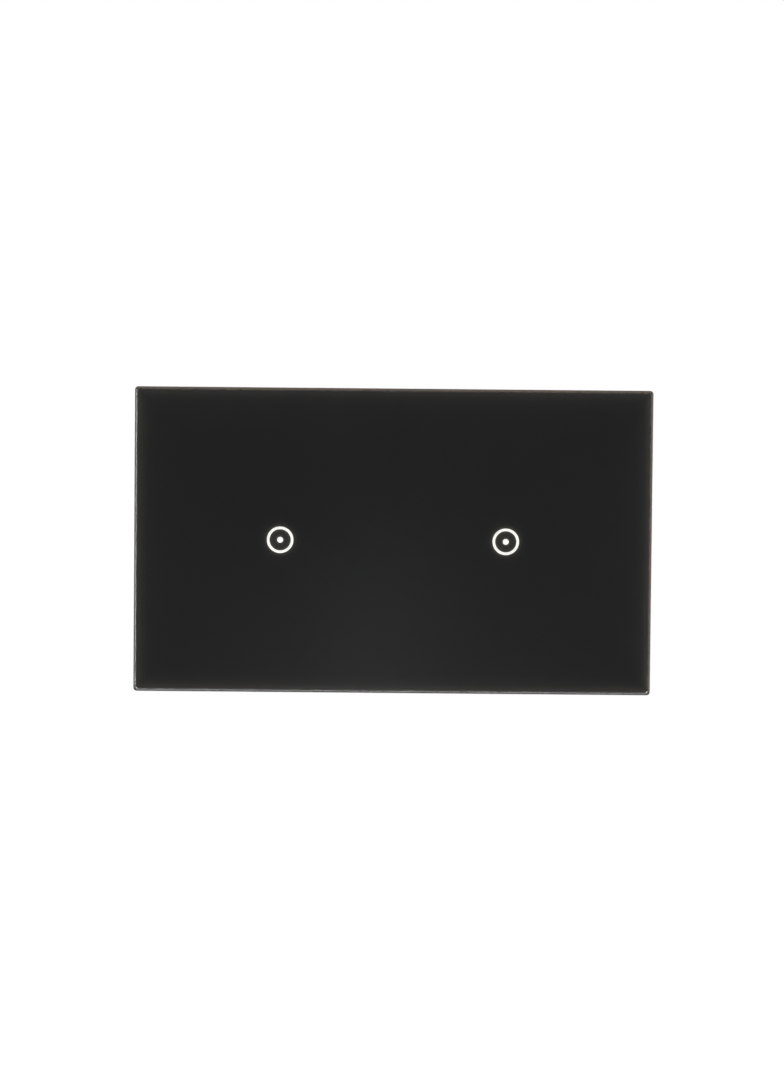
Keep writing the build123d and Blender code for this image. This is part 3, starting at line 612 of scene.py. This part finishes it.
class SWITCH_OT_screws(Operator):
    """Builds the wall screws and the earth screw with real threads, and finishes the other screws"""

    bl_idname = "switch.screws"
    bl_label = "Screws"

    # Sizes that both kinds of screw share, and the plain neck of each under its head
    head_radius, head_height, head_rim = 3.3 * MM, 2.0 * MM, 0.5 * MM
    thread_radius, tip_taper = 1.75 * MM, 0.5 * MM
    slot_width, slot_depth = 1.0 * MM, 1.0 * MM
    wall_neck, earth_neck = 3.6 * MM, 0.5 * MM

    def execute(self, context):
        metal = context.scene.switch_metal
        steel = plated("screw_zinc", metal.zinc, 0.26, (0.86, 0.84, 0.76))
        brass = plated("screw_brass", metal.brass, 0.24, (0.80, 0.74, 0.62))
        dress(both("wall_washer", "line_screw", "load_screw", "flange_screws"), steel)
        dress(["earth_washer"], brass)
        for name in both("wall_screw"):
            low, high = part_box(name)
            seat = low.y + self.head_height
            self.screw(metal, name, 1, seat, self.wall_neck, high.y, steel, "screw_steel")
        low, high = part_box("earth_screw")
        seat = high.y - self.head_height
        self.screw(metal, "earth_screw", -1, seat, self.earth_neck, low.y, brass, "screw_brass")
        return {"FINISHED"}

    def screw(self, metal, node, facing, seat, neck, tip, look, slot):
        """Builds a slotted screw. It faces the viewer at 1 and the wall box at -1."""
        axis = middle(node)
        head = self.head(axis, facing, seat, self.thread_radius - metal.thread_depth)
        shank = self.shank(metal, axis, facing, seat, seat + facing * neck, tip)
        made = piece(f"{node}_threaded", joined([head, shank]), node, slot, look, weighted=False)
        made.data.set_sharp_from_angle(angle=math.radians(35))
        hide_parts(node)

    def ring(self, axis, y, radius_at, steps=40):
        """A ring of points about a screw's axis, whose radius may change with the angle."""
        turns = [2 * math.pi * i / steps for i in range(steps)]
        return [
            (axis.x + radius_at(turn) * math.cos(turn), y, axis.z + radius_at(turn) * math.sin(turn))
            for turn in turns
        ]

    def head(self, axis, facing, seat, core):
        """The head with its rounded rim, cut by its slot and softened."""
        top, rim, foot = seat - facing * self.head_height, self.head_rim, 0.08 * MM
        profile = [(self.head_radius * share, top) for share in (0.35, 0.7)]
        for i in range(6):
            turn = math.pi / 2 * i / 5
            inset, drop = rim * (1 - math.sin(turn)), rim * (1 - math.cos(turn))
            profile.append((self.head_radius - inset, top + facing * drop))
        profile += [(self.head_radius, seat - facing * foot), (self.head_radius - foot, seat), (core, seat)]
        blank = skinned([self.ring(axis, y, lambda turn, here=radius: here) for radius, y in profile])
        cut = bmesh.new()
        bmesh.ops.create_cube(cut, size=1.0)
        size = (3 * self.head_radius, 2 * self.slot_depth, self.slot_width)
        bmesh.ops.scale(cut, vec=size, verts=cut.verts)
        bmesh.ops.translate(cut, vec=(axis.x, top, axis.z), verts=cut.verts)
        turned, cutter = solid("turned_head", blank), solid("slot_cutter", cut)
        slot = turned.modifiers.new("Slot", "BOOLEAN")
        slot.operation, slot.object, slot.solver = "DIFFERENCE", cutter, "EXACT"
        soft = turned.modifiers.new("Soft", "BEVEL")
        soft.width, soft.segments, soft.limit_method = 0.05 * MM, 2, "ANGLE"
        soft.angle_limit = math.radians(50)
        shown = turned.evaluated_get(bpy.context.evaluated_depsgraph_get())
        cut_mesh = bpy.data.meshes.new_from_object(shown)
        head = bmesh.new()
        head.from_mesh(cut_mesh)
        speck = 0.008 * MM  # slivers that the slot leaves at its ends
        bmesh.ops.remove_doubles(head, verts=head.verts, dist=speck)
        bmesh.ops.dissolve_degenerate(head, edges=head.edges, dist=speck)
        for mesh in (turned.data, cutter.data, cut_mesh):
            bpy.data.meshes.remove(mesh)
        return head

    def shank(self, metal, axis, facing, seat, start, tip):
        """The plain neck and the thread, which runs in after the neck and tapers at the tip."""
        core, pitch = self.thread_radius - metal.thread_depth, metal.thread_pitch
        length, rows_a_turn, into_head = abs(tip - start), 8, 0.2 * MM
        flat, flank = 0.15, 0.7  # shares of half the pitch

        def thread(along, turn):
            share = (along / pitch - facing * turn / (2 * math.pi)) % 1.0
            crest = min(max((abs(share - 0.5) * 2 - flat) / flank, 0.0), 1.0)
            radius = core + metal.thread_depth * crest * min(along / pitch, 1.0)
            return min(radius, self.thread_radius - max(self.tip_taper - (length - along), 0.0))

        rows = [self.ring(axis, y, lambda turn: core) for y in (seat - facing * into_head, start)]
        count = round(length / pitch * rows_a_turn)
        for i in range(1, count + 1):
            y = start + (tip - start) * i / count
            rows.append(self.ring(axis, y, lambda turn: thread(abs(y - start), turn)))
        return skinned(rows)


class SWITCH_OT_housings(Operator):
    """Finishes the rear housings and gives each its side ribs, wire entry rims and blank label"""

    bl_idname = "switch.housings"
    bl_label = "Rear Housings"

    # How far the flange stands out from the housing's body
    flange_side, ear_height = 1.6 * MM, 5.4 * MM
    # Where the ribs stand on the sides, the top and the underside, in millimetres
    side_places, top_places, under_places = (-17, -8.5, 8.5, 17), (-15, -5, 5, 15), (-15, 0, 15)
    # Half of a wire entry with its rim, its distance from the module's middle and its level
    entry_reach, entry_x, entry_level = 2.70 * MM, 7.0 * MM, -11.75 * MM

    def execute(self, context):
        moulding = context.scene.switch_moulding
        plastic = moulded("housing_plastic", moulding.housing_colour, 0.5, 0.2 * MM, 8e-6, 0.012)
        dress(both("rear_housing"), plastic)
        film = self.film(moulding.label_colour)
        modules = tuple(zip(SIDES, (-symbol_reach, symbol_reach)))
        for side, middle_x in modules:
            self.ribs(side, middle_x, plastic)
            self.entry_rims(side, middle_x, plastic)
        for side, middle_x in modules:
            self.label(side, middle_x, film)
        return {"FINISHED"}

    def body(self):
        """Half the width, half the height and the back level of the housing behind the plate."""
        low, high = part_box("right_rear_housing")
        return (high.x - low.x) / 2 - self.flange_side, high.z - self.ear_height, -high.y

    def film(self, pale):
        """Brushed foil under a clear coat."""
        look = Look("label_film", {"Metallic": 0.6, "Coat Weight": 0.3, "Coat Roughness": 0.2})
        fibre = look.noise(0.12 * MM, 3.0, (5.0, 1.0, 1.0))
        cloud = look.noise(9 * MM, 2.0).step(0.3, 0.7)
        colour = look.mix(cloud, pale, shade(pale, 0.95))
        return look.coat(colour, 0.35 + (fibre - 0.5) * 0.2, fibre, 1.5e-6)

    def label(self, side, middle_x, film):
        """A blank label in its recess on the back."""
        half_x, half_z, corner, drop = 13.2 * MM, 3.05 * MM, 0.6 * MM, 4.0 * MM
        sunk, thick, edge, inner = 0.3 * MM, 0.14 * MM, 0.04 * MM, 0.5 * MM
        _, _, back = self.body()
        floor, face = back + sunk, back + sunk - thick
        profile = [(inner, floor), (0, floor), (0, face), (inner, face)]
        rings = []
        for inset, height in softened(profile, edge, 2):
            points = outline(half_x - inset, half_z - inset, corner - inset, 4)
            rings.append([(middle_x + x, -height, z - drop) for x, z in points])
        piece(f"{side}_back_label", skinned(rings), "base", "housing_plastic", film)

    def ribs(self, side, middle_x, plastic):
        """Low ribs along the depth of the housing, faded in and out, with soft roots."""
        half_x, half_z, back = self.body()
        width, proud, root, ramp = 0.5 * MM, 0.45 * MM, 0.28 * MM, 1.0 * MM
        start, end = -1.3 * MM, back + 1.6 * MM
        section = [
            (root + width, -0.15), (root + width, 0.0), (0.35 * root + width, 0.12), (width, 0.45),
            (0.9 * width, 0.85), (0.6 * width, 1.0),
        ]
        section += [(-across, out) for across, out in reversed(section)]
        places = [(sign, 0, z * MM) for sign in (-1, 1) for z in self.side_places]
        places += [(0, 1, x * MM) for x in self.top_places] + [(0, -1, x * MM) for x in self.under_places]
        made, steps = [], 16
        for across_x, up_z, place in places:
            rings = []
            for i in range(steps + 1):
                height = start + (end - start) * i / steps
                near_end = min(abs(height - start), abs(height - end)) / ramp
                swell = math.sin(math.pi / 2 * min(near_end, 1.0))
                ring = []
                for across, out in section:
                    lift = out * proud * (swell if out > 0 else 1.0)
                    if across_x:
                        ring.append((middle_x + across_x * (half_x + lift), -height, place + across))
                    else:
                        ring.append((middle_x + place + across, -height, up_z * (half_z + lift)))
                rings.append(ring)
            made.append(skinned(rings))
        piece(f"{side}_side_ribs", joined(made), "base", "housing_plastic", plastic)

    def entry_rims(self, side, middle_x, plastic):
        """A raised rim round each wire entry under the housing."""
        _, half_z, _ = self.body()
        section = ((0.0, -0.15), (0.0, 0.2), (0.12, 0.4), (0.5, 0.4), (0.95, 0.05), (0.95, -0.15))
        made = []
        for x in (middle_x - self.entry_x, middle_x + self.entry_x):
            rings = []
            for inset, out in section:  # in millimetres
                half = self.entry_reach - inset * MM
                points = outline(half, half, max(0.7 - 0.6 * inset, 0.1) * MM, 5)
                rings.append([(x + u, v - self.entry_level, -half_z - out * MM) for u, v in points])
            made.append(skinned(rings, looped=True))
        piece(f"{side}_entry_rims", joined(made), "base", "housing_plastic", plastic)


class SWITCH_OT_touch_points(Operator):
    """Finishes the white diffusers, the touch springs and the indicator lamps"""

    bl_idname = "switch.touch_points"
    bl_label = "Touch Points"

    def execute(self, context):
        dress(both("symbol_diffuser"), self.milk())
        dress(both("touch_spring"), self.wire())
        dress(both("indicator_leds"), self.resin())
        return {"FINISHED"}

    def milk(self):
        """Milky plastic whose front has a painted glow, emission standing in for the lamps behind it."""
        look = Look("milky_diffuser", {"Emission Strength": 0.40, "Coat Weight": 0.2})
        haze = look.noise(1.5 * MM, 3.0).step(0.3, 0.7)
        # Painted glow: only the diffuser's front emits light; the indicator lamps behind it give none
        front = level(look).past(DIFFUSER_FRONT, 0.2 * MM)
        look.paint({"Emission Color": look.mix(front, BLACK, (1.0, 0.86, 0.81))})
        return look.coat(look.mix(haze, (0.90, 0.89, 0.86), (0.94, 0.93, 0.90)), 0.3 + haze * 0.1)

    def wire(self):
        """Drawn spring wire."""
        look = Look("spring_wire", {"Metallic": 1.0})
        drawn = look.noise(0.08 * MM, 2.0)
        cloud = look.noise(1.2 * MM, 2.0).step(0.4, 0.6)
        colour = look.mix(cloud, (0.74, 0.72, 0.68), (0.66, 0.64, 0.60))
        return look.coat(colour, 0.16 + (drawn - 0.5) * 0.2, drawn, 1e-6)

    def resin(self):
        """A yellow resin lens on a pale body with gilt ends."""
        look = Look("lamp_resin", {"Coat Weight": 0.4})
        lamp_x, half_x, half_z, gilt_z, edge = 1.3 * MM, 0.38 * MM, 0.65 * MM, 0.80 * MM, 0.07 * MM
        _, _, z = look.xyz()
        across, up = abs(abs(module_x(look)) - lamp_x), abs(z)
        lens = across.within(half_x, edge) * up.within(half_z, edge)
        gold = up.past(gilt_z, 0.06 * MM)
        body = look.mix(lens, (0.85, 0.85, 0.82), (0.80, 0.66, 0.14))
        rough = 0.3 + look.noise(0.2 * MM) * 0.1 - lens * 0.15
        return look.coat(look.mix(gold, body, (0.75, 0.60, 0.30)), rough, Metallic=gold)


class SWITCH_OT_boards(Operator):
    """Finishes the circuit boards and the header between them"""

    bl_idname = "switch.boards"
    bl_label = "Boards"

    def execute(self, context):
        sensor = self.laminate("sensor_laminate", (0.012, 0.10, 0.045), SENSOR_FRONT, -MM, 6.5 * MM)
        dress(both("sensor_board"), sensor)
        power = self.laminate("power_laminate", (0.03, 0.12, 0.05), POWER_FRONT, MM, -5.0 * MM)
        dress(both("power_board"), power)
        header, edge = Look("header_plastic"), 0.05 * MM
        height = level(header)
        pins = height.past(SENSOR_FRONT, edge) + height.past(POWER_FRONT, -edge)
        header = pinned(header, pins, 0.15 * MM, (0.02, 0.02, 0.021), (0.80, 0.78, 0.72), 0.25)
        dress(both("board_header"), header)
        return {"FINISHED"}

    def tracks(self, along, run):
        """Copper tracks side by side, where there is a run of them."""
        pitch, half = 1.6 * MM, 0.22 * MM
        return abs(along % pitch - pitch / 2).within(half, 0.06 * MM) * run

    def laminate(self, name, green, chip_level, away, chip_z):
        """Green solder mask over copper tracks, with a black chip that stands away from one face."""
        look = Look(name, {"Coat Weight": 0.35, "Coat Roughness": 0.12})
        x = module_x(look)
        _, y, z = look.xyz()
        run = look.noise(5 * MM, 0.0, (1.0, 1.0, 4.0)).step(0.52, 0.54)
        cross = look.noise(5 * MM, 0.0, (4.0, 1.0, 1.0)).step(0.55, 0.57)
        track = self.tracks(x, run).maths("MAXIMUM", self.tracks(z, cross))
        pour = look.noise(9 * MM, 1.0).step(0.55, 0.56)
        copper = track.maths("MAXIMUM", pour)
        weave = look.noise(0.3 * MM, 2.0)
        mask = look.mix(copper, green, shade(green, 1.9))
        chip = (0 - y).past(chip_level + 0.02 * away, 0.03 * away)
        body = look.mix(chip, mask, (0.018, 0.018, 0.019))
        spot_x, spot_z = x + 2.0 * MM, z - chip_z - 1.6 * MM  # the dimple at the chip's corner
        spot = (spot_x * spot_x + spot_z * spot_z).maths("SQRT").within(0.30 * MM, 0.06 * MM)
        colour = look.mix(spot * chip, body, (0.06, 0.06, 0.06))
        rough = 0.32 + (weave - 0.5) * 0.15 + chip * 0.2
        return look.coat(colour, rough, copper * (1 - chip) + weave * 0.15, 2.5e-5)


class SWITCH_OT_relays(Operator):
    """Finishes the relays: base and pins, case, coil, iron, leaf and contacts"""

    bl_idname = "switch.relays"
    bl_label = "Relays"

    # The coil's and the contact's axes, from the module's middle
    axis_z, coil_x, contact_x = 14.4 * MM, -8.6 * MM, -16.4 * MM

    def execute(self, context):
        base = Look("relay_base")
        pins = level(base).past(POWER_BACK, 0.05 * MM)
        base = pinned(base, pins, 0.2 * MM, (0.03, 0.03, 0.032), (0.72, 0.70, 0.66), 0.2)
        dress(both("relay_base"), base)
        dress(both("relay_case"), moulded("relay_case", (0.018, 0.075, 0.24), 0.3, 0.3 * MM, 3e-6))
        dress(both("relay_coil"), self.coil())
        iron = plated("relay_iron", (0.56, 0.55, 0.52), 0.3, (0.85, 0.83, 0.78))
        dress(both("relay_yoke", "relay_armature"), iron)
        dress(both("relay_leaf", "relay_contact"), self.bronze())
        return {"FINISHED"}

    def coil(self):
        """Turns of enamelled copper wire between a pale bobbin's cheeks, each turn painted lighter at its
        crown with painted shade between turns.
        """
        look = Look("coil_winding")
        winding_radius, pitch = 4.62 * MM, 0.12 * MM
        bobbin = look.around(self.coil_x, self.axis_z).past(winding_radius, 0.06 * MM)
        turns = abs(level(look) % pitch - pitch / 2) * (2 / pitch)
        # Painted shade and highlight: each turn is lighter at its crown and darker in the groove to the
        # next turn
        wire = look.mix(turns, (0.62, 0.25, 0.10), (0.34, 0.11, 0.04))
        colour = look.mix(bobbin, wire, (0.72, 0.70, 0.64))
        relief = turns * (1 - bobbin)
        return look.coat(colour, 0.32 + bobbin * 0.15, relief, 3e-5, Metallic=0.8 * (1 - bobbin))

    def bronze(self):
        """Bronze leaves with a silver button on each."""
        look = Look("contact_bronze", {"Metallic": 1.0})
        button_radius, leaf_back, contact_front = 1.10 * MM, -17.32 * MM, -15.8 * MM
        button = look.around(self.contact_x, self.axis_z).within(button_radius, 0.04 * MM)
        height = level(look)
        leaf = height.past(leaf_back, -0.04 * MM)
        inner = leaf.maths("MAXIMUM", height.past(contact_front, 0.05 * MM))
        cloud = look.noise(1.5 * MM, 3.0).step(0.4, 0.65)
        bronze = look.mix(cloud, (0.70, 0.45, 0.24), (0.58, 0.35, 0.19))
        colour = look.mix(button * (1 - inner), bronze, (0.82, 0.81, 0.78))
        return look.coat(colour, 0.28 + cloud * 0.1, look.noise(0.1 * MM, 2.0, (8.0, 1.0, 1.0)), 1.5e-6)


class SWITCH_OT_capacitors(Operator):
    """Finishes the storage capacitors, surge discs and film capacitors"""

    bl_idname = "switch.capacitors"
    bl_label = "Capacitors"

    def execute(self, context):
        self.can()
        self.dipped("surge_disc", "surge_coating", (0.020, 0.10, 0.36), 0.34)
        self.dipped("film_capacitor", "film_case", (0.72, 0.44, 0.03), 0.3)
        return {"FINISHED"}

    def can(self):
        """A dark sleeve with a pale stripe, a bare scored end and tinned leads."""
        end_level, end_radius, score_radius, score_half = -16.05 * MM, 2.5 * MM, 1.9 * MM, 0.06 * MM
        stripe_x, stripe_half, edge = 2.2 * MM, 1.4 * MM, 0.1 * MM
        node = middle("right_storage_capacitor")
        look = Look("capacitor_sleeve", {"Coat Weight": 0.3})
        radius = look.around(node.x - symbol_reach, node.z)
        top = level(look).past(end_level, -0.04 * MM) * radius.within(end_radius, edge / 2)
        metal = top.maths("MAXIMUM", level(look).past(POWER_BACK, 0.03 * MM))
        x = module_x(look) - (node.x - symbol_reach)
        _, _, z = look.xyz()
        up = z - node.z
        stripe = x.past(stripe_x, edge) * abs(up).within(stripe_half, edge)
        score = abs(x).maths("MINIMUM", abs(up)).within(score_half, edge)
        score = score * radius.within(score_radius, edge)
        cloud = look.noise(2 * MM, 3.0).step(0.3, 0.7)
        sleeve = look.mix(cloud, (0.012, 0.014, 0.030), (0.022, 0.024, 0.045))
        banded = look.mix(stripe, sleeve, (0.55, 0.56, 0.58))
        colour = look.mix(metal, banded, (0.78, 0.78, 0.77))
        look.coat(colour, 0.28 + cloud * 0.12, (1 - score) * top, 8e-5, Metallic=metal)
        dress(both("storage_capacitor"), look)

    def dipped(self, node, name, colour, roughness):
        """Glossy, slightly lumpy resin over tinned leads."""
        look = Look(name, {"Coat Weight": 0.5, "Coat Roughness": 0.1})
        leads = level(look).past(POWER_BACK, 0.03 * MM)
        lumps = look.noise(1.8 * MM, 3.0)
        tone = look.mix(lumps.step(0.35, 0.65), shade(colour, 0.88), colour)
        colour = look.mix(leads, tone, (0.74, 0.73, 0.70))
        look.coat(colour, roughness + (lumps - 0.5) * 0.1, lumps, 6e-5, Metallic=leads)
        dress(both(node), look)


class SWITCH_OT_stage(Operator):
    """Sets up the pale floor, the soft lamps, the room and the camera"""

    bl_idname = "switch.stage"
    bl_label = "Stage"

    # Name, place, size across and along, brightness and colour. Each lamp faces the switch.
    lamps = (
        ("key", (-0.85, -1.15, 0.95), (1.1, 1.1), 2.5, WHITE),
        ("fill", (1.05, -1.05, 0.55), (1.0, 1.0), 1.5, WHITE),
        ("back_left", (-0.95, 1.1, 0.75), (1.0, 1.0), 1.9, WHITE),
        ("back_right", (1.0, 1.05, 0.45), (1.0, 1.0), 1.4, WHITE),
        ("left_strip", (-0.9, 0.056, -0.03), (0.13, 0.32), 0.7, WHITE),
        ("left_front_strip", (-0.9, -0.089, -0.03), (0.13, 0.32), 4.6, WHITE),
        ("right_strip", (0.9, -0.015, -0.03), (0.28, 0.32), 1.25, (1.0, 0.62, 0.38)),
        ("low_strip", (0.0, 0.024, -0.42), (0.34, 0.055), 0.5, WHITE),
        ("low_front_strip", (0.0, -0.042, -0.42), (0.34, 0.055), 3.3, WHITE),
        ("top_strip", (0.0, -0.083, 0.9), (0.4, 0.27), 1.0, (1.0, 0.62, 0.30)),
    )

    def execute(self, context):
        stage = context.scene.switch_stage
        context.scene.view_settings.view_transform = "Standard"
        self.room(context, stage)
        self.floor(stage)
        for lamp in self.lamps:
            self.lamp(*lamp)
        self.camera(context, stage)
        return {"FINISHED"}

    def room(self, context, stage):
        """A white room, which only mirrors darker in front of the glass, where the camera stands."""
        world = bpy.data.worlds.new("room")
        world.use_nodes = True
        context.scene.world = world
        tree = Tree(world.node_tree)
        seen = tree.light_path("Camera") + tree.light_path("Transmission")
        mirrored = tree.light_path("Glossy")
        x, y, z = tree.axes(tree.node("TexCoord", out="Generated"))
        aside = (0 - y).maths("ARCCOSINE").step(math.radians(12), math.radians(85))
        # A soft paler spot and a wider band, low in front, that the glass mirrors below its middle
        spot_x, spot_z, spot_drop = [math.sin(math.radians(size)) for size in (1.5, 2.6, 5.0)]
        across = x * (1 / spot_x)
        up = (z + spot_drop) * (1 / spot_z)
        spot = ((across * across + up * up) * -1).maths("EXPONENT")
        band = ((across * across * 0.1 + up * up * 1.6) * -1).maths("EXPONENT")
        front = stage.front_room + (1 - stage.front_room) * aside + 0.12 * spot + 0.07 * band
        lit = stage.soft_light + mirrored * (front - stage.soft_light)
        seen = seen.maths("MINIMUM", 1.0)
        brightness = lit + seen * (1 - lit)
        background = world.node_tree.nodes["Background"]
        tree.feed(background.inputs["Color"], WHITE)
        tree.feed(background.inputs["Strength"], brightness)

    def floor(self, stage):
        """A pale floor below the switch, open from beneath so that it hides nothing from there."""
        reach = 1.8
        shape = bmesh.new()
        bmesh.ops.create_grid(shape, x_segments=1, y_segments=1, size=reach)
        floor = solid("floor", shape)
        floor.location.z = -stage.floor_drop
        look = Look("floor_paper", {"Specular IOR Level": 0.1, "Emission Strength": 1.0})
        fibre = look.noise(4 * MM, 3.0).step(0.3, 0.7)
        pale = stage.floor_colour
        direct = look.light_path("Camera")
        seen = (direct + look.light_path("Transmission")).maths("MINIMUM", 1.0)
        x, y, _ = look.xyz()
        # The camera and the glass see the floor fade to white away from the switch
        away = (x * x + y * y).maths("SQRT").step(0.4, 1.3)
        lift = seen * (0.12 + 0.45 * away) + direct * 0.22
        look.paint({"Emission Color": look.mix(lift, BLACK, WHITE)})
        look.coat(look.mix(fibre, pale, shade(pale, 0.98)), 0.9)
        look.see_through(look.node("NewGeometry", out="Backfacing"), WHITE)
        floor.data.materials.append(look.material)

    def lamp(self, name, place, size, brightness, colour):
        """A soft rectangular lamp whose surface has a given brightness, turned to the switch."""
        data = bpy.data.lights.new(name, "AREA")
        data.shape = "RECTANGLE"
        data.size, data.size_y = size
        data.energy = brightness * math.pi * size[0] * size[1]
        data.color = colour
        self.turned(name, data, place, Vector(place)).visible_camera = False

    def camera(self, context, stage):
        """A camera at the photograph's angle."""
        away = Vector((
            math.sin(stage.azimuth) * math.cos(stage.elevation),
            -math.cos(stage.azimuth) * math.cos(stage.elevation),
            math.sin(stage.elevation),
        ))
        data = bpy.data.cameras.new("camera")
        data.lens = stage.lens
        place = Vector(stage.aim) + away * stage.distance
        context.scene.camera = self.turned("camera", data, place, away, stage.roll)

    def turned(self, name, data, place, away, roll=0.0):
        """A new object at a place, which looks against the direction that leads away."""
        thing = placed(name, data)
        thing.location = place
        thing.rotation_mode = "QUATERNION"
        thing.rotation_quaternion = (-away).to_track_quat("-Z", "Y") @ Quaternion((0, 0, 1), roll)
        return thing


STEPS = (
    SWITCH_OT_face_glass,
    SWITCH_OT_face_print,
    SWITCH_OT_bonding_tape,
    SWITCH_OT_mouldings,
    SWITCH_OT_metals,
    SWITCH_OT_screws,
    SWITCH_OT_housings,
    SWITCH_OT_touch_points,
    SWITCH_OT_boards,
    SWITCH_OT_relays,
    SWITCH_OT_capacitors,
    SWITCH_OT_stage,
)
SETTINGS = {
    "switch_face": FaceSettings,
    "switch_moulding": MouldingSettings,
    "switch_metal": MetalSettings,
    "switch_stage": StageSettings,
}


class SWITCH_PT_panel(Panel):
    """Lists the steps that dress the switch, with the settings that they read"""

    bl_idname = "SWITCH_PT_panel"
    bl_label = "Touch Light Switch"
    bl_space_type = "VIEW_3D"
    bl_region_type = "UI"
    bl_category = "Switch"

    def draw(self, context):
        for step in STEPS:
            self.layout.operator(step.bl_idname)
        for name in SETTINGS:
            settings = getattr(context.scene, name)
            box = self.layout.box()
            for key in settings.__annotations__:
                box.prop(settings, key)


CLASSES = (*SETTINGS.values(), *STEPS, SWITCH_PT_panel)


def register():
    for cls in CLASSES:
        bpy.utils.register_class(cls)
    for name, group in SETTINGS.items():
        setattr(bpy.types.Scene, name, bpy.props.PointerProperty(type=group))


def unregister():
    for name in SETTINGS:
        delattr(bpy.types.Scene, name)
    for cls in reversed(CLASSES):
        bpy.utils.unregister_class(cls)


def main():
    register()
    for step in STEPS:
        family, _, name = step.bl_idname.partition(".")
        getattr(getattr(bpy.ops, family), name)()


if __name__ == "__main__":
    main()
